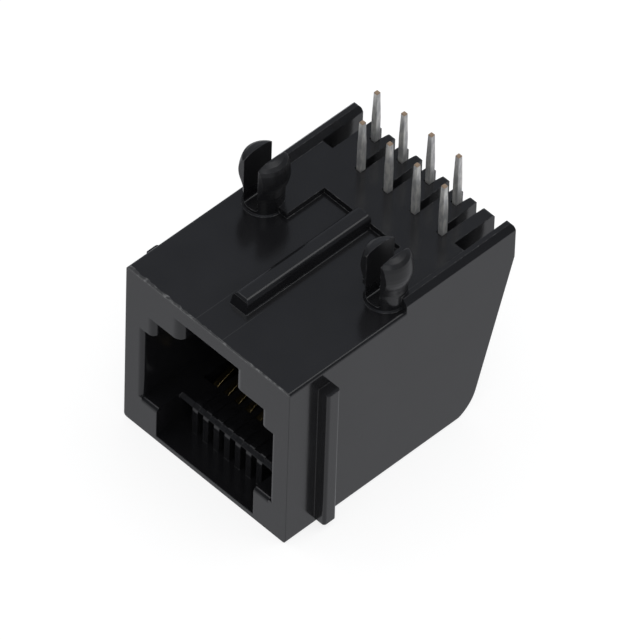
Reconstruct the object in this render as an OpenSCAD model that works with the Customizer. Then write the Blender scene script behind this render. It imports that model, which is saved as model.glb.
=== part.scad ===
// Eight-way modular jack for a printed circuit board: one moulded housing
// and eight bent wire contacts. It lies on its far face, board side up.
// Shell frame: y runs back from the mouth, z up from the underside.
// place() moves it so the origin lies midway between the pegs on the
// plane the board rests on.

/* [Part] */
// Which node to draw, or all of them

/* [Body] */
// Width over the side walls, without the flanges
body_w = 15.3; // [14.9:0.1:20]
// Length from the mouth to the back of the fins
body_l = 20.4; // [20.1:0.1:26]
// Height from the underside to the front board-side surface
body_h = 14.65; // [14:0.05:19]
// Radius along the long edges of the body
edge_r = 0.25; // [0.1:0.05:0.5]
// Radius of the heel where the back meets the underside
heel_r = 2.5; // [1:0.1:3]
// Drop from the front surface to where the back starts to slant
back_drop = 2.0; // [0.5:0.1:4]
// Rise of the rear board-side surface above the front one
rear_step = 0.47; // [0.2:0.01:0.8]

/* [Seats on the board side] */
// Height of the rails and rib above the rear surface
rail_h = 0.56; // [0.3:0.01:1]
// Width of the flat top of a rail
rail_top = 0.35; // [0.15:0.01:0.6]
// Width of the chamfer on the outer side of a rail
rail_cx = 0.36; // [0.1:0.01:0.5]
// Height of that chamfer
rail_cz = 0.48; // [0.1:0.01:0.55]
// Radius where a rail ends at the back
rail_end_r = 0.35; // [0.1:0.01:0.5]
// Half width of the middle rib under its shoulders
rib_top = 0.72; // [0.5:0.01:0.8]
// Half width of the middle rib at its base
rib_base = 0.74; // [0.6:0.01:0.95]
// Radius of the shoulders of the middle rib
rib_r = 0.44; // [0.1:0.01:0.45]
// Where the middle rib starts behind the mouth
rib_y = 2.7; // [1:0.1:6]
// Half width of the recess behind the pegs
recess_w = 3.55; // [2:0.05:3.9]
// Depth of that recess, front to back
recess_l = 3.4; // [1:0.1:4.5]

/* [Pegs] */
// Distance between the two pegs
peg_spacing = 11.43; // [9.6:0.01:12.2]
// Distance from the mouth to the pegs
peg_setback = 10.5; // [10.3:0.05:10.7]
// Shank diameter of a peg
peg_d = 2.8; // [2.2:0.05:3.4]
// Barb diameter over the shank diameter
barb_over = 0.66; // [0.2:0.02:0.8]
// Height of a peg above the front surface
peg_h = 4.57; // [4.4:0.01:6]
// Width of the slot that splits a peg
peg_slot = 1.3; // [0.5:0.05:1.5]
// Height of the slot floor above the front surface
peg_web = 0.35; // [0.2:0.05:1.2]

/* [Flanges] */
// How far a side flange stands out
flange_out = 0.95; // [0.3:0.05:2]
// Distance from the mouth to the flange
flange_y = 2.6; // [1:0.1:5]
// Thickness of the flange
flange_t = 1.1; // [0.6:0.05:2]
// Drop from the front surface to the top of the flange
flange_top = 1.45; // [0.5:0.05:4]
// Height of the foot of the flange above the underside
flange_foot = 0.55; // [0.3:0.05:4]

/* [Port] */
// Plug opening width
port_w = 12.0; // [11.8:0.05:12.4]
// Plug opening height
port_h = 6.75; // [6.6:0.05:7]
// Depth of the cavity
port_d = 14.6; // [13.4:0.1:14.7]
// Thickness of the wall under the contacts
far_wall = 0.40; // [0.3:0.02:0.6]
// Width of the channel the contacts lie in
channel_w = 9.2; // [8.8:0.05:10]
// Height of that channel
channel_h = 2.6; // [2.3:0.02:2.9]
// Width of the step above the plug opening
key_w = 9.9; // [8:0.1:11]
// Height of that step
key_h = 1.65; // [1.2:0.05:1.9]
// Width of the latch slot at the mouth
latch_w = 4.84; // [3.6:0.02:5.4]
// Height of the latch slot
latch_h = 1.93; // [1.5:0.01:2.1]
// Width of the latch room behind the lip
latch_room_w = 6.8; // [5.6:0.1:8]
// Thickness of the lip the latch catches on
latch_lip = 1.4; // [0.8:0.1:2.5]
// Depth of the latch room
latch_room_l = 9.0; // [6:0.1:11]
// Radius on the side edges of the mouth
mouth_r = 0.38; // [0.1:0.02:0.6]
// Radius on the side edges of the step, at the mouth
step_r = 0.55; // [0.1:0.05:0.8]
// Radius on the side edges of the latch slot, at the mouth
latch_r = 0.75; // [0.1:0.05:1]
// Radius on the sill of the mouth
sill_r = 0.35; // [0.1:0.05:0.5]

/* [Contacts] */
// Thickness of the square contact wire
wire_t = 0.45; // [0.36:0.01:0.55]
// Spacing of the contacts in the port
port_pitch = 1.016; // [0.9:0.002:1.12]
// Spacing of the pins along one row
row_pitch = 2.54; // [2.3:0.01:2.6]
// Distance between the two rows of pins
row_gap = 2.54; // [2.2:0.01:2.6]
// Distance from the pegs back to the front row of pins
pin_setback = 6.35; // [6.2:0.01:6.4]
// Length of pin above the front surface
pin_h = 4.9; // [3:0.05:6]
// Length of pin that tapers towards its end
tip_l = 2.4; // [0.3:0.1:2.8]
// Width left at the end of the taper
tip_w = 0.34; // [0.2:0.01:0.36]
// Chamfer round the very end of a pin
tip_c = 0.05; // [0.02:0.01:0.08]
// Rise of a contact out from under the cover, in degrees
lift = 38; // [34:1:42]
// Rise of the rest of its spring arm, in degrees
rise = 23.5; // [18:0.5:26]
// Distance from the mouth to the free ends
free_y = 12.6; // [11.8:0.1:13]
// Radius of the bend at the back, on the wire's centre
bend_r = 1.6; // [1.2:0.05:1.8]

/* [Combs] */
// Play between a contact and the ribs beside it
rib_gap = 0.03; // [0.02:0.005:0.05]
// Play between a contact and its slot at the back
slot_gap = 0.05; // [0.03:0.005:0.07]
// Distance from the mouth to the inner ribs
comb_y = 2.0; // [1.6:0.1:2.1]
// Where the inner ribs end
comb_end = 9.5; // [7:0.1:10]
// Thickness of the cover over the bends of the contacts
cover_t = 0.28; // [0.2:0.02:0.4]
// Where that cover ends, behind the front of the ribs
cover_l = 2.3; // [2:0.05:2.6]
// Half width of a slot where it opens at the back
flare = 0.36; // [0.34:0.01:0.45]
// Chamfer on the back corners of the fins
fin_c = 0.07; // [0.05:0.01:0.15]
// Radius along the top of the back ends of the fins
fin_r = 0.25; // [0.1:0.05:0.4]
// How far each slot opens in front of its pin, on the board side
slot_relief = 0.05; // [0.02:0.01:0.2]
// Width of the open pocket beside the fins
pocket_w = 0.93; // [0.4:0.01:0.96]
// Thickness of the side wall beside a pocket
side_wall = 1.02; // [0.8:0.01:1.2]

/* [Hidden] */
$fn = 64;
half_w = body_w / 2;
rear_z = body_h + rear_step;
seat_h = rear_z + rail_h;
floor_z = far_wall + channel_h;
port_top = floor_z + port_h;
key_top = port_top + key_h;
latch_top = key_top + latch_h;
back_z = body_h - back_drop;
heel_y = port_d + 0.31;
rib_t = port_pitch - wire_t - 2 * rib_gap;
slot_w = wire_t + 2 * slot_gap;
wire_z = far_wall + rib_gap + wire_t / 2;
bend_z = wire_z + bend_r;
cover_y = comb_y + cover_l;
u_r = (channel_h - cover_t - slot_gap - wire_t) / 2;
u_z = wire_z + u_r;
// The wire leaves the turn and passes just behind the edge of the cover
exit_gap = slot_gap + wire_t / 2;
exit_y = cover_y + exit_gap * sin(lift);
exit_z = floor_z - exit_gap * cos(lift);
exit_l = (exit_z - u_z - u_r * cos(lift)) / sin(lift);
u_y = exit_y - exit_l * cos(lift) + u_r * sin(lift);
knee = [cover_y + 0.3, exit_z + (cover_y + 0.3 - exit_y) * tan(lift)];
arm_l = (free_y - knee[0]) / cos(rise);
arm_end = knee + arm_l * [cos(rise), sin(rise)];
front_y = peg_setback + pin_setback;
rear_y = front_y + row_gap;
bay_w = 7 * row_pitch / 2 + wire_t + 0.6;
pocket_x = half_w - side_wall - pocket_w;
jog_start = comb_end + 0.1;
jog_end = port_d - 0.6;
key_r = min(step_r, (port_w - key_w) / 2 - 0.05);
notch_r = min(latch_r, (key_w - latch_w) / 2 - 0.05);
// Bends are drawn a hair thicker, and straights run on into them by join,
// so a curve and the straight beside it always meet as one solid
hair = 0.005;
join = 0.05;
fins_top = arm_end[1] + wire_t + 0.25;

function port_x(k) = (k - 4.5) * port_pitch;
function pin_x(k) = (k - 4.5) * row_pitch / 2;
function in_rear_row(k) = k % 2 == 1;
function pin_y(k) = in_rear_row(k) ? rear_y : front_y;
// Where the bend at the back starts: straight under the front row
function bend_y(k) = in_rear_row(k) ? port_d + 0.165 : front_y - bend_r;
// Lean of a line from a circle at c, radius r, tangent, up to the point p
function lean(c, r, p) = atan2(p[0] - c[0], p[1] - c[1])
    - asin(r / norm([p[0] - c[0], p[1] - c[1]]));
function wire_lean(k) = in_rear_row(k)
    ? lean([bend_y(k), bend_z], bend_r, [rear_y, back_z]) : 0;

module place() {
    translate([0, -peg_setback, -seat_h]) children();
}

// Outlines drawn as (y, z), run along x
module along_x(x0, w) {
    translate([x0, 0, 0]) rotate([90, 0, 90]) linear_extrude(w) children();
}

// Outlines drawn as (x, z), run along y
module along_y(y0, l) {
    translate([0, y0 + l, 0]) rotate([90, 0, 0]) linear_extrude(l) children();
}

module pie(c, r, a0, a1) {
    s = (a1 - a0) / 3;
    translate(c) intersection() {
        circle(r);
        polygon([[0, 0],
                 2 * r * [cos(a0), sin(a0)],
                 2 * r * [cos(a0 + s), sin(a0 + s)],
                 2 * r * [cos(a1 - s), sin(a1 - s)],
                 2 * r * [cos(a1), sin(a1)]]);
    }
}

module box2(x0, y0, x1, y1) {
    translate([x0, y0]) square([x1 - x0, y1 - y0]);
}

module round_rect(x0, y0, x1, y1, r) {
    box2(x0 + r, y0, x1 - r, y1);
    box2(x0, y0 + r, x0 + r, y1 - r);
    box2(x1 - r, y0 + r, x1, y1 - r);
    pie([x0 + r, y0 + r], r, 180, 270);
    pie([x1 - r, y0 + r], r, 270, 360);
    pie([x1 - r, y1 - r], r, 0, 90);
    pie([x0 + r, y1 - r], r, 90, 180);
}

// ---- housing ----

// Cross-section behind the pegs: the raised surface and its two rails
module rear_section() {
    rx = half_w - rail_cx;
    z = seat_h - rail_cz;
    polygon([[edge_r - half_w, 0], [half_w - edge_r, 0],
             [half_w - edge_r, edge_r], [half_w, edge_r],
             [half_w, z], [rx, seat_h], [rx - rail_top, seat_h],
             [rx - rail_top - 0.35, rear_z], [0.35 + rail_top - rx, rear_z],
             [rail_top - rx, seat_h], [-rx, seat_h], [-half_w, z],
             [-half_w, edge_r], [edge_r - half_w, edge_r]]);
    pie([half_w - edge_r, edge_r], edge_r, 270, 360);
    pie([edge_r - half_w, edge_r], edge_r, 180, 270);
}

// Side view of the back: upright, then slanting in to the heel
module back_outline() {
    a = lean([heel_y, heel_r], heel_r, [body_l, back_z]);
    t = [heel_y + heel_r * cos(a), heel_r - heel_r * sin(a)];
    c = [body_l - rail_end_r, seat_h + 0.01 - rail_end_r];
    polygon([[5, 0], [heel_y, 0], [heel_y, heel_r], t,
             [body_l, back_z], [body_l, c[1]], c, [c[0], seat_h + 0.01],
             [5, seat_h + 0.01]]);
    pie([heel_y, heel_r], heel_r - hair, 270, 364 - a);
    pie(c, rail_end_r, 0, 90);
}

module block() {
    along_y(0, peg_setback)
        round_rect(-half_w, 0, half_w, body_h, edge_r);
    intersection() {
        along_y(peg_setback, body_l - peg_setback) rear_section();
        along_x(-half_w - 1, body_w + 2) back_outline();
    }
}

module middle_rib() {
    x = rib_top - rib_r;
    z = seat_h - rib_r;
    end_y = peg_setback + recess_l + 0.1;
    c = [rib_y + 0.5, seat_h - 0.29];
    intersection() {
        along_y(rib_y, end_y - rib_y) {
            polygon([[-rib_base - 0.06, body_h - 0.2], [rib_base + 0.06, body_h - 0.2],
                     [rib_base + 0.06, body_h], [rib_base, body_h + 0.06],
                     [rib_top, z], [x, z], [x, seat_h],
                     [-x, seat_h], [-x, z], [-rib_top, z],
                     [-rib_base, body_h + 0.06], [-rib_base - 0.06, body_h]]);
            pie([x, z], rib_r, 0, 90);
            pie([-x, z], rib_r, 90, 180);
        }
        along_x(-2, 4) {
            polygon([[rib_y, body_h - 0.5], [rib_y, body_h],
                     [c[0] - 0.3, c[1]], c, [c[0], c[1] + 0.3],
                     [end_y + 1, c[1] + 0.3], [end_y + 1, body_h - 0.5]]);
            pie(c, 0.3, 90, 180);
        }
    }
}

module flange(side) {
    z0 = flange_foot;
    z1 = body_h - flange_top;
    x0 = side > 0 ? half_w - 1 : -half_w - flange_out;
    translate([0, 0, z0]) linear_extrude(z1 - z0)
        round_rect(x0, flange_y, x0 + 1 + flange_out, flange_y + flange_t, 0.22);
}

// Split snap peg; the barb swells out over the board's far side
module peg(x) {
    r = peg_d / 2;
    q = barb_over / 2;
    b = r + q;
    translate([x, peg_setback, body_h]) difference() {
        rotate_extrude()
            polygon([[0, -0.3], [r + 0.1, -0.3], [r + 0.1, 0], [r, 0.12],
                     [r, 1.5], [r + 0.15 * q, 1.75], [r + 0.4 * q, 2.1],
                     [r + 0.7 * q, 2.4], [r + 0.92 * q, 2.7], [b, 3],
                     [b - 0.02, 3.3], [b - 0.07, peg_h - 0.97],
                     [b - 0.13, peg_h - 0.67], [b - 0.23, peg_h - 0.37],
                     [b - 0.5, peg_h - 0.17], [b - 0.9, peg_h - 0.04],
                     [0, peg_h]]);
        translate([0, 3, 0]) rotate([90, 0, 0]) linear_extrude(6) {
            h = peg_slot / 2;
            box2(-h, peg_web + 0.2, h, peg_h + 1);
            box2(0.2 - h, peg_web, h - 0.2, peg_web + 0.2);
            pie([0.2 - h, peg_web + 0.2], 0.2, 180, 270);
            pie([h - 0.2, peg_web + 0.2], 0.2, 270, 360);
        }
    }
}

// Stepped outline of the mouth, from the plug opening up
module port_outline() {
    box2(-port_w / 2, floor_z, port_w / 2, port_top);
    box2(-key_w / 2, port_top - join, key_w / 2, key_top);
    box2(-latch_w / 2, key_top - join, latch_w / 2, latch_top);
}

// What the rounding takes off both side edges of the mouth, x from the middle
module edge_cut(x, r, z0, z1) {
    translate([0, 0, z0]) linear_extrude(z1 - z0) {
        difference() {
            box2(x - 0.2, -1, x + r, r);
            pie([x + r, r], r, 180, 270);
        }
        difference() {
            box2(-x - r, -1, 0.2 - x, r);
            pie([-x - r, r], r, 270, 360);
        }
    }
}

module port() {
    along_y(-1, 1 + latch_room_l) port_outline();
    edge_cut(port_w / 2, mouth_r, floor_z, port_top);
    edge_cut(key_w / 2, key_r, port_top - join, key_top);
    edge_cut(latch_w / 2, notch_r, key_top - join, latch_top);
    along_x(-port_w / 2, port_w)
        difference() {
            box2(-1, floor_z - sill_r, sill_r, floor_z + 0.2);
            pie([sill_r, floor_z - sill_r], sill_r, 90, 180);
        }
    along_y(-1, 1 + port_d)
        box2(-port_w / 2, floor_z, port_w / 2, port_top);
    along_y(latch_lip, latch_room_l - latch_lip)
        box2(-latch_room_w / 2, key_top - 0.4, latch_room_w / 2, latch_top);
    along_y(-1, 1 + comb_end + 0.1)
        box2(-channel_w / 2, far_wall, channel_w / 2, floor_z + 0.5);
    along_y(comb_end, port_d - comb_end)
        box2(-bay_w / 2, far_wall, bay_w / 2, floor_z + 0.5);
}

// Ribs that keep the contacts apart behind the mouth, and the cover over them
module inner_comb() {
    r = 0.6;
    top = floor_z + 0.12;
    for (i = [-3 : 3])
        along_x(i * port_pitch - rib_t / 2, rib_t) {
            polygon([[comb_y, far_wall - 0.1], [comb_y, top - r],
                     [comb_y + r, top - r], [comb_y + r, top],
                     [comb_y + 1.4, top], [cover_y, floor_z],
                     [comb_end, floor_z], [comb_end, far_wall - 0.1]]);
            pie([comb_y + r, top - r], r, 90, 180);
        }
    along_x(-channel_w / 2 - 0.1, channel_w + 0.2)
        polygon([[comb_y + 0.05, floor_z - cover_t],
                 [comb_y + 0.05, floor_z - cover_t + 0.08],
                 [comb_y + 0.35, floor_z], [cover_y, floor_z],
                 [cover_y - cover_t / tan(lift), floor_z - cover_t]]);
}

// Slotted block the free ends of the contacts sit in
module guide_block() {
    y0 = port_d - 2.8;
    difference() {
        translate([-channel_w / 2, y0, floor_z])
            cube([channel_w, port_d + 0.1 - y0, fins_top - floor_z]);
        for (k = [1 : 8])
            translate([port_x(k) - slot_w / 2 - 0.02, y0 - 1, floor_z - 1])
                cube([slot_w + 0.04, 2.6, fins_top]);
    }
}

// Plan of one slot between the fins
module slot_plan(k) {
    h = slot_w / 2;
    y1 = max(pin_y(k) + 0.3, 18.4);
    translate([pin_x(k), 0])
        polygon([[-h, bend_y(k)], [h, bend_y(k)], [h, y1],
                 [flare, body_l - fin_c], [flare + fin_c, body_l],
                 [flare + fin_c, body_l + 1], [-flare - fin_c, body_l + 1],
                 [-flare - fin_c, body_l], [-flare, body_l - fin_c],
                 [-h, y1]]);
}

// Side view of one slot: its inner side follows the wire
module slot_side(k) {
    c = [bend_y(k), bend_z];
    a = wire_lean(k);
    r = bend_r - slot_w / 2;
    t = c + r * [cos(a), -sin(a)];
    face = pin_y(k) - slot_w / 2;
    turn = [face, back_z + slot_w / 2 * tan(a / 2)];
    open = [[face, rear_z - 1], [face - slot_relief, rear_z - 0.8],
            [face - slot_relief, seat_h + 2], [c[0] - 1, seat_h + 2],
            [c[0] - 1, c[1]]];
    difference() {
        box2(c[0], -1, body_l + 2, seat_h + 1);
        pie(c, r - hair, 270, 364 - a);
        polygon(concat(a > 0 ? [c, t, turn] : [c, t], open));
    }
}

module rear_slots() {
    for (k = [1 : 8]) {
        intersection() {
            translate([0, 0, -1]) linear_extrude(seat_h + 2) slot_plan(k);
            along_x(pin_x(k) - 1, 2) slot_side(k);
        }
        translate([pin_x(k) - slot_w / 2, port_d - 0.1, far_wall])
            cube([slot_w, bend_y(k) - port_d + 0.2, wire_t + 0.1 + rib_gap]);
    }
}

module fin_ends() {
    c = [body_l - fin_r, rear_z - fin_r];
    along_x(-pocket_x - 0.1, 2 * pocket_x + 0.2)
        difference() {
            box2(c[0], c[1], body_l + 1, rear_z + 1);
            pie(c, fin_r, 0, 90);
        }
}

module rear_pockets() {
    for (s = [-1, 1])
        translate([s > 0 ? pocket_x : -pocket_x - pocket_w, front_y - 0.15, -1])
            cube([pocket_w, body_l, seat_h + 2]);
}

module housing() {
    color("#232427") {
        difference() {
            union() {
                block();
                flange(1);
                flange(-1);
            }
            translate([-recess_w, peg_setback - 0.5, body_h])
                cube([2 * recess_w, recess_l + 0.5, 2]);
            port();
            rear_slots();
            fin_ends();
            rear_pockets();
        }
        middle_rib();
        peg(-peg_spacing / 2);
        peg(peg_spacing / 2);
        inner_comb();
        guide_block();
    }
}

// ---- contacts ----

module ring(c, r, a0, a1) {
    difference() {
        pie(c, r + wire_t / 2 + hair, a0, a1);
        translate(c) circle(r - wire_t / 2 - hair);
    }
}

// Spring end: the turn under the cover and the arm that rises in two steps
module spring_outline() {
    h = wire_t / 2;
    n = [-sin(lift), cos(lift)] * h;
    m = [-sin(rise), cos(rise)] * h;
    w = (n + m) / (1 + cos(lift - rise));
    foot = [u_y, u_z] + n * u_r / h - join * [cos(lift), sin(lift)];
    ring([u_y, u_z], u_r, 90 + lift, 270);
    polygon([foot + n, foot - n, knee - w, arm_end - m, arm_end + m, knee + w]);
}

// Back end: the bend, the leg up the slot and the pin
module leg_outline(k) {
    a = wire_lean(k);
    c = [bend_y(k), bend_z];
    h = wire_t / 2;
    e = join * [sin(a), cos(a)];
    o = c + (bend_r + h) * [cos(a), -sin(a)] - e;
    i = c + (bend_r - h) * [cos(a), -sin(a)] - e;
    y = pin_y(k);
    d = h * tan(a / 2);
    top = body_h + pin_h;
    t = tip_w / 2;
    pin = [[y + h, top - tip_l], [y + t, top - tip_c], [y + t - tip_c, top],
           [y - t + tip_c, top], [y - t, top - tip_c], [y - h, top - tip_l]];
    ring(c, bend_r, 270, 360 - a);
    polygon(a > 0 ? concat([i, o, [y + h, back_z - d]], pin, [[y - h, back_z + d]])
                  : concat([i, o], pin));
}

module contact(k) {
    h = wire_t / 2;
    xa = port_x(k);
    xb = pin_x(k);
    top = body_h + pin_h;
    color("#b8b4a8") {
        along_x(xa - h, wire_t) spring_outline();
        translate([0, 0, wire_z - h]) linear_extrude(wire_t)
            polygon([[xa - h, u_y - join], [xa + h, u_y - join],
                     [xa + h, jog_start], [xb + h, jog_end],
                     [xb + h, bend_y(k) + join], [xb - h, bend_y(k) + join],
                     [xb - h, jog_end], [xa - h, jog_start]]);
        difference() {
            along_x(xb - h, wire_t) leg_outline(k);
            for (s = [-1, 1])
                along_y(pin_y(k) - 1, 2)
                    polygon([[xb + s * h, top - tip_l],
                             [xb + s * tip_w / 2, top - tip_c],
                             [xb + s * (tip_w / 2 - tip_c), top],
                             [xb + s * (tip_w / 2 - tip_c), top + 1],
                             [xb + s * (h + 0.5), top + 1],
                             [xb + s * (h + 0.5), top - tip_l]]);
        }
    }
}

place() housing();
place() contact(1);  // contact_1
place() contact(2);  // contact_2
place() contact(3);  // contact_3
place() contact(4);  // contact_4
place() contact(5);  // contact_5
place() contact(6);  // contact_6
place() contact(7);  // contact_7
place() contact(8);  // contact_8
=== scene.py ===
import math
import bpy
from mathutils import Matrix, Vector


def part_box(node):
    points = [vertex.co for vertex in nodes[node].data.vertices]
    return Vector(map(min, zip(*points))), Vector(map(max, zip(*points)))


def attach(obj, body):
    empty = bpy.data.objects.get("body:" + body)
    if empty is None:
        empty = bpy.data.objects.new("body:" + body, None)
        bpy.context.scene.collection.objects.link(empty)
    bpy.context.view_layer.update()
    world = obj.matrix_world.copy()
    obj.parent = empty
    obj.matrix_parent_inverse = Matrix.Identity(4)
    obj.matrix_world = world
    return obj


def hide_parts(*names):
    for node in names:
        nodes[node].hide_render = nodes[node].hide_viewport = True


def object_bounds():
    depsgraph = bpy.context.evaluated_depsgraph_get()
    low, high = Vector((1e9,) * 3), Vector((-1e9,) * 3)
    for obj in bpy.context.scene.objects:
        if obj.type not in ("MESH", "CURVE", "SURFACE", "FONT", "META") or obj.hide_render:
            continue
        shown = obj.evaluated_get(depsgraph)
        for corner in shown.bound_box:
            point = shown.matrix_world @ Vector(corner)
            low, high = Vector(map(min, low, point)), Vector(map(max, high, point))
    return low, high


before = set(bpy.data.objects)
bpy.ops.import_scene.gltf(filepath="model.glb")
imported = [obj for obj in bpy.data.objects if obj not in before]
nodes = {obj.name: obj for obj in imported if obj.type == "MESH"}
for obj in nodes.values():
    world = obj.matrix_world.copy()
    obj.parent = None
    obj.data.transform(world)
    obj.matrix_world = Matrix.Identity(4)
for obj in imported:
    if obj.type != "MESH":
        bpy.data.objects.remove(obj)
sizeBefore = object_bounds()
scene = bpy.context.scene
mm = 0.001
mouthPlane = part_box("housing")[0].y
mergeGap = 0.0005 * mm  # points closer than this are one point
cutGap = 0.0001 * mm    # points closer than this to a cut lie in it
white = (1, 1, 1, 1)
print("frame loaded:", len(nodes), "nodes")

# long lens, looking down on the right corner of the mouth; degrees and mm
camSet = {"azimuth": 44.551, "elevation": 48.327, "roll": 1.98, "distance": 779.3,
          "right": 0.912, "up": 0.09, "aim": (0, -1.5, -7.03),
          "lens": 671.19, "sensor": 36, "clip": (50, 5000)}


def addCamera(s):
    az, el, ro = (math.radians(s[k]) for k in ("azimuth", "elevation", "roll"))
    back = Vector((math.sin(az) * math.cos(el), -math.cos(az) * math.cos(el),
                   math.sin(el)))
    level = Vector((0, 0, 1)).cross(back).normalized()
    tall = back.cross(level)
    right = level * math.cos(ro) + tall * math.sin(ro)
    up = tall * math.cos(ro) - level * math.sin(ro)
    spot = Vector(s["aim"]) + back * s["distance"] + right * s["right"] + up * s["up"]
    data = bpy.data.cameras.new("camera")
    data.sensor_width = s["sensor"]
    data.lens = s["lens"]
    data.clip_start, data.clip_end = (c * mm for c in s["clip"])
    cam = bpy.data.objects.new("camera", data)
    scene.collection.objects.link(cam)
    turn = Matrix((right, up, back)).transposed().to_4x4()
    cam.matrix_world = Matrix.Translation(spot * mm) @ turn
    scene.camera = cam


addCamera(camSet)
scene.view_settings.view_transform = "Standard"
print("camera placed")


def newTree(owner):
    owner.use_nodes = True
    owner.node_tree.nodes.clear()
    return owner.node_tree


# adds a node; a socket is linked, a property is set, anything else is a plain input
def put(tree, kind, settings=None):
    n = tree.nodes.new("ShaderNode" + kind)
    for key, val in (settings or {}).items():
        if isinstance(val, bpy.types.NodeSocket):
            tree.links.new(val, n.inputs[key])
        elif isinstance(key, str) and hasattr(n, key):
            setattr(n, key, val)
        else:
            n.inputs[key].default_value = val
    return n


# the same, where only what the node gives out is wanted
def out(tree, kind, settings=None):
    return put(tree, kind, settings).outputs[0]


def sums(tree, operation, *values):
    return out(tree, "Math", {"operation": operation, **dict(enumerate(values))})


# as a value goes from one end to the other, so does the result
def spread(tree, value, ends=(0, 1), to=(0, 1)):
    return out(tree, "MapRange", {"Value": value, "From Min": ends[0],
                                  "From Max": ends[1], "To Min": to[0],
                                  "To Max": to[1]})


def noise(tree, where, scale, detail):
    return out(tree, "TexNoise", {"Vector": where, "Scale": scale, "Detail": detail})


def dot(tree, one, other):
    return put(tree, "VectorMath", {"operation": "DOT_PRODUCT", 0: one,
                                    1: other}).outputs["Value"]


def mixColours(tree, share, under, over):
    return put(tree, "Mix", {"data_type": "RGBA", 0: share, 6: under,
                             7: over}).outputs[2]


# one shader for matte light, one for gloss and glass, one for the camera
def byRay(tree, lit, mirrored, seen):
    ray = put(tree, "LightPath").outputs
    shiny = sums(tree, "MAXIMUM", ray["Is Glossy Ray"], ray["Is Transmission Ray"])
    first = out(tree, "MixShader", {0: shiny, 1: lit, 2: mirrored})
    return out(tree, "MixShader", {0: ray["Is Camera Ray"], 1: first, 2: seen})


# white sweep: the camera sees it white with the part's soft shadow on it; it lies
# a hair below the part (mm), so that the two faces don't flicker
sweep = {"glow": 0.8, "shade": 0.28, "gloss": 0.62, "glossTone": (0.95, 0.96, 1, 1),
         "tone": 0.8, "size": 360, "below": 0.02}


def addFloor(s):
    m = bpy.data.materials.new("floorWhite")
    t = newTree(m)
    plain = out(t, "BsdfDiffuse", {"Color": (s["tone"],) * 3 + (1,)})
    gloss = out(t, "Emission", {"Color": s["glossTone"], "Strength": s["gloss"]})
    bright = out(t, "Emission", {"Color": white, "Strength": s["glow"]})
    dim = out(t, "BsdfDiffuse", {"Color": (s["shade"],) * 3 + (1,)})
    seen = out(t, "AddShader", {0: bright, 1: dim})
    # clear from below, where it would hide the part
    under = put(t, "NewGeometry").outputs["Backfacing"]
    whole = out(t, "MixShader", {0: under, 1: byRay(t, plain, gloss, seen),
                                 2: out(t, "BsdfTransparent")})
    put(t, "OutputMaterial", {"Surface": whole})
    bpy.ops.object.select_all(action="DESELECT")
    level = sizeBefore[0].z - s["below"] * mm
    bpy.ops.mesh.primitive_plane_add(size=s["size"] * mm, location=(0, 0, level))
    floor = bpy.context.active_object
    floor.name = "floor"
    floor.data.materials.append(m)


# a pale tent; gloss sees it darker low down at the back right and in front,
# between the cosines near and far from that direction
tent = {"plain": 0.70, "plainTone": (0.98, 0.99, 1, 1), "glossTone": (0.85, 0.90, 1, 1),
        "top": 0.36, "dark": 0.18, "front": 0.14, "toward": (0.70, 0.66, 0.12),
        "near": (0.30, 0.80), "far": (-0.2, -0.7)}


def addTent(s):
    world = bpy.data.worlds.new("tent")
    scene.world = world
    t = newTree(world)
    way = put(t, "TexCoord").outputs["Generated"]
    side = dot(t, way, Vector(s["toward"]).normalized())
    near = spread(t, side, s["near"], (s["top"], s["dark"]))
    far = spread(t, side, s["far"], (0, s["front"] - s["top"]))
    level = sums(t, "ADD", near, far)
    lit = out(t, "Background", {"Color": s["plainTone"], "Strength": s["plain"]})
    gloss = out(t, "Background", {"Color": s["glossTone"], "Strength": level})
    seen = out(t, "Background", {"Color": white})
    put(t, "OutputWorld", {"Surface": byRay(t, lit, gloss, seen)})


# softboxes: where from, side in m, and how bright their face is
boxes = {"softboxTop": {"from": (0.24, 0.34, 0.91), "size": 0.40, "glow": 1.5},
         "softboxLeft": {"from": (-0.50, -0.16, 0.86), "size": 0.34, "glow": 1.0},
         "softboxFront": {"from": (0.466, -0.474, 0.747), "size": 0.28, "glow": 1.6}}


def addSoftboxes(rows, reach):
    for name, s in rows.items():
        way = Vector(s["from"]).normalized()
        data = bpy.data.lights.new(name, "AREA")
        data.shape = "SQUARE"
        data.size = s["size"]
        data.energy = s["glow"] * math.pi * s["size"] ** 2
        lamp = bpy.data.objects.new(name, data)
        lamp.location = way * reach
        lamp.rotation_euler = way.to_track_quat("Z", "Y").to_euler()
        scene.collection.objects.link(lamp)


addFloor(sweep)
addTent(tent)
addSoftboxes(boxes, reach=0.8)
print("surroundings set")

# black glass-filled plastic, fairly glossy, a shade bluer than neutral; lengths in mm
plastic = {"tone": (0.006, 0.012), "blue": 1.12, "rough": (0.13, 0.21), "ior": 1.5,
           "cloud": 350, "cloudDetail": 4, "edge": 0.07, "edgeSamples": 8,
           "grain": 9000, "grainDetail": 3, "bump": 0.1, "bumpDepth": 0.02,
           "pegRough": 0.16, "pegFrom": (0, 0.3), "paleMarksAndGlintFrom": (-1.25, -1.1),
           "edgeGlintAndBurrs": 0.11, "edgeGlintAndBurrsTurn": (0.99, 0.85), "glintBurr": 2600, "glintBurrDetail": 2,
           "glintBurrCut": (0.5, 0.72), "line": 0.012, "lineAt": 1.25, "lineWidth": 0.035,
           "lineEnd": 4.6, "lineFade": 0.6, "lip": 0.03, "lipWidth": (0.16, 0.42),
           "lipFrom": (2, -7), "torn": 2200, "tornDetail": 4}


def inMm(pair):
    return [p * mm for p in pair]


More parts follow.
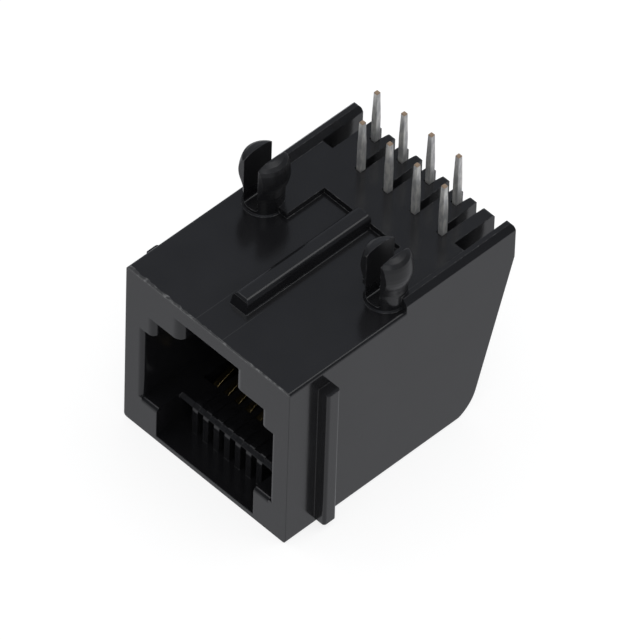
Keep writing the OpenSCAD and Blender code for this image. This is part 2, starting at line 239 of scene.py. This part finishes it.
def plasticMaterial(s):
    m = bpy.data.materials.new("blackPlastic")
    t = newTree(m)
    place = put(t, "TexCoord").outputs["Object"]
    x, y, z = put(t, "SeparateXYZ", {0: place}).outputs
    grain = noise(t, place, s["grain"], s["grainDetail"])
    cloud = noise(t, place, s["cloud"], s["cloudDetail"])
    tone = spread(t, cloud, to=s["tone"])
    # only the pegs stand above the seat plane, and they are duller
    onPeg = spread(t, z, inMm(s["pegFrom"]), (0, s["pegRough"]))
    rough = sums(t, "ADD", spread(t, cloud, to=s["rough"]), onPeg)
    edge = out(t, "Bevel", {"samples": s["edgeSamples"], "Radius": s["edge"] * mm})
    # corners a little pale in specks: partly burrs, partly a painted highlight where the
    # edges catch the light
    turned = dot(t, edge, put(t, "NewGeometry").outputs["Normal"])
    glintBurr = noise(t, place, s["glintBurr"], s["glintBurrDetail"])
    sparse = spread(t, glintBurr, s["glintBurrCut"], (0, s["edgeGlintAndBurrs"]))
    glintAndBurrSpecks = sums(t, "MULTIPLY", spread(t, turned, s["edgeGlintAndBurrsTurn"]), sparse)
    # two faint witness lines on the board side, from the mouth to the rib
    onLine = sums(t, "COMPARE", sums(t, "ABSOLUTE", x), s["lineAt"] * mm,
                  s["lineWidth"] * mm)
    lineEnds = [s["lineEnd"] * mm + mouthPlane,
                s["lineEnd"] * mm * s["lineFade"] + mouthPlane]
    line = sums(t, "MULTIPLY", onLine, spread(t, y, lineEnds, (0, s["line"])))
    # a pale rough band along the top of the mouth face, widest at one corner: partly
    # moulding flash, partly a painted highlight along that edge
    width = spread(t, x, inMm(s["lipFrom"]), inMm(s["lipWidth"]))
    torn = noise(t, place, s["torn"], s["tornDetail"])
    reach = sums(t, "MULTIPLY_ADD", torn, width, mouthPlane)
    onFlashAndGlint = sums(t, "LESS_THAN", y, reach)
    lip = sums(t, "MULTIPLY_ADD", onFlashAndGlint, sums(t, "ADD", sparse, s["lip"]), glintAndBurrSpecks)
    # the witness lines, flash and painted edge highlight are all on the board side only
    paleMarksAndGlint = sums(t, "MULTIPLY", sums(t, "ADD", lip, line),
                 spread(t, z, inMm(s["paleMarksAndGlintFrom"])))
    grey = sums(t, "ADD", tone, paleMarksAndGlint)
    blue = sums(t, "MULTIPLY_ADD", tone, s["blue"], paleMarksAndGlint)
    tint = out(t, "CombineColor", {0: grey, 1: grey, 2: blue})
    bump = out(t, "Bump", {"Strength": s["bump"], "Distance": s["bumpDepth"] * mm,
                           "Height": grain, "Normal": edge})
    skin = out(t, "BsdfPrincipled", {"IOR": s["ior"], "Base Color": tint,
                                     "Roughness": rough, "Normal": bump})
    put(t, "OutputMaterial", {"Surface": skin})
    return m


# wire: tin on the pins, scuffed in streaks, gold on the spring arm, bare copper at
# the cut tips; the gold is darkened well below real gold as painted shade deep in
# the mouth; metal and rough are for gold and for tin, lengths in mm
wire = {"goldInShade": (0.26, 0.20, 0.09, 1), "tin": (0.76, 0.75, 0.72, 1),
        "scuff": (0.50, 0.50, 0.50, 1), "tip": (0.50, 0.36, 0.25, 1),
        "metal": (1, 0.66), "rough": (0.14, 0.36), "roughStreak": 0.08,
        "streak": 3500, "streakDetail": 3, "streakLong": 0.3, "scuffCut": (0.42, 0.62),
        "goldAbove": (-13.15, -12.85), "goldBefore": (4, 3), "tipFrom": (3.78, 3.83)}


def wireMaterial(s):
    m = bpy.data.materials.new("platedWireInShade")
    t = newTree(m)
    place = put(t, "TexCoord").outputs["Object"]
    _, y, z = put(t, "SeparateXYZ", {0: place}).outputs
    drawn = out(t, "Mapping", {"Vector": place, "Scale": (1, 1, s["streakLong"])})
    streak = noise(t, drawn, s["streak"], s["streakDetail"])
    # gold starts where the arm leaves the turn, and ends before the pins
    arm = sums(t, "MULTIPLY", spread(t, z, inMm(s["goldAbove"])),
               spread(t, y, inMm(s["goldBefore"])))
    tin = mixColours(t, spread(t, streak, s["scuffCut"]), s["scuff"], s["tin"])
    # the gold colour mixed in here carries painted shade: it is much darker than real gold
    platedInShade = mixColours(t, arm, tin, s["goldInShade"])
    tint = mixColours(t, spread(t, z, inMm(s["tipFrom"])), platedInShade, s["tip"])
    dull = spread(t, arm, to=s["rough"][::-1])
    rough = sums(t, "MULTIPLY_ADD", streak, s["roughStreak"], dull)
    metal = spread(t, arm, to=s["metal"][::-1])
    skin = out(t, "BsdfPrincipled", {"Metallic": metal, "Base Color": tint,
                                     "Roughness": rough})
    put(t, "OutputMaterial", {"Surface": skin})
    return m


housingFinish = plasticMaterial(plastic)
wireFinish = wireMaterial(wire)
print("finishes set")


def only(piece):
    bpy.ops.object.select_all(action="DESELECT")
    bpy.context.view_layer.objects.active = piece
    piece.select_set(True)


def copyNode(name, made):
    piece = bpy.data.objects.new(made, nodes[name].data.copy())
    scene.collection.objects.link(piece)
    only(piece)
    return piece


def weld():
    bpy.ops.mesh.select_mode(type="EDGE")
    bpy.ops.mesh.select_all(action="SELECT")
    bpy.ops.mesh.remove_doubles(threshold=mergeGap)


def standFor(piece, node):
    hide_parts(node)
    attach(piece, "root")


# selects the faces that wanted(face, its points) holds for, and stays in edit mode
def pickFaces(piece, wanted):
    only(piece)
    bpy.ops.object.mode_set(mode="EDIT")
    bpy.ops.mesh.select_mode(type="FACE")
    bpy.ops.mesh.select_all(action="DESELECT")
    bpy.ops.object.mode_set(mode="OBJECT")
    verts = piece.data.vertices
    for f in piece.data.polygons:
        f.select = wanted(f, [verts[i].co for i in f.vertices])
    bpy.ops.object.mode_set(mode="EDIT")


# the barbs swell only sideways: in mm, they are cut flat this far either side of
# the pegs' line, from this height up; square is how truly a cap has to face y
barbs = {"flat": 1.25, "above": 0.48, "square": 0.99}


def trimBarbs(flat, fill):
    for way in (-1, 1):
        bpy.ops.mesh.select_all(action="SELECT")
        bpy.ops.mesh.bisect(plane_co=(0, way * flat, 0), plane_no=(0, way, 0),
                            use_fill=fill, clear_outer=True, threshold=cutGap)


def makeHousing(s):
    piece = copyNode("housing", "jackHousing")
    flat = s["flat"] * mm
    pickFaces(piece, lambda f, points: max(p.z for p in points) > s["above"] * mm)
    bpy.ops.mesh.separate(type="SELECTED")
    bpy.ops.object.mode_set(mode="OBJECT")
    pegs = [o for o in bpy.context.selected_objects if o != piece][0]
    caps = pegs.copy()
    caps.data = pegs.data.copy()
    scene.collection.objects.link(caps)
    only(pegs)
    bpy.ops.object.mode_set(mode="EDIT")
    trimBarbs(flat, False)
    bpy.ops.object.mode_set(mode="OBJECT")
    # the caps come off a welded copy, so the pegs keep their own smooth shading
    only(caps)
    bpy.ops.mesh.customdata_custom_splitnormals_clear()
    bpy.ops.object.mode_set(mode="EDIT")
    weld()
    trimBarbs(flat, True)
    bpy.ops.mesh.select_all(action="SELECT")
    bpy.ops.mesh.normals_make_consistent(inside=False)
    bpy.ops.object.mode_set(mode="OBJECT")
    pickFaces(caps, lambda f, points: abs(f.normal.y) < s["square"]
              or abs(points[0].y) < flat * s["square"])
    bpy.ops.mesh.delete(type="FACE")
    bpy.ops.object.mode_set(mode="OBJECT")
    bpy.ops.object.shade_flat()
    print("barb caps:", len(caps.data.polygons))
    only(piece)
    pegs.select_set(True)
    caps.select_set(True)
    bpy.ops.object.join()
    standFor(piece, "housing")


# drawn wire has rolled edges, roll in mm; the rest are turns in degrees: what is
# still flat, what counts as an edge, and what is shaded smooth
wireEdge = {"roll": 0.045, "segments": 3, "flat": 0.5, "sharp": 60, "smooth": 35}


def makeWire(name, s):
    piece = copyNode(name, "wire" + name[-1])
    bpy.ops.object.mode_set(mode="EDIT")
    weld()
    bpy.ops.mesh.dissolve_limited(angle_limit=math.radians(s["flat"]))
    bpy.ops.mesh.select_all(action="DESELECT")
    bpy.ops.mesh.edges_select_sharp(sharpness=math.radians(s["sharp"]))
    bpy.ops.mesh.bevel(offset=s["roll"] * mm, segments=s["segments"], affect="EDGES")
    bpy.ops.object.mode_set(mode="OBJECT")
    bpy.ops.object.shade_smooth_by_angle(angle=math.radians(s["smooth"]))
    bpy.ops.object.modifier_add(type="WEIGHTED_NORMAL")
    piece.modifiers[-1].keep_sharp = True
    bpy.ops.object.modifier_apply(modifier=piece.modifiers[-1].name)
    standFor(piece, name)


for name, o in nodes.items():
    o.data.materials.clear()
    o.data.materials.append(housingFinish if name == "housing" else wireFinish)
makeHousing(barbs)
print("housing made")
for name in sorted(nodes):
    if name != "housing":
        makeWire(name, wireEdge)
print("wires made")
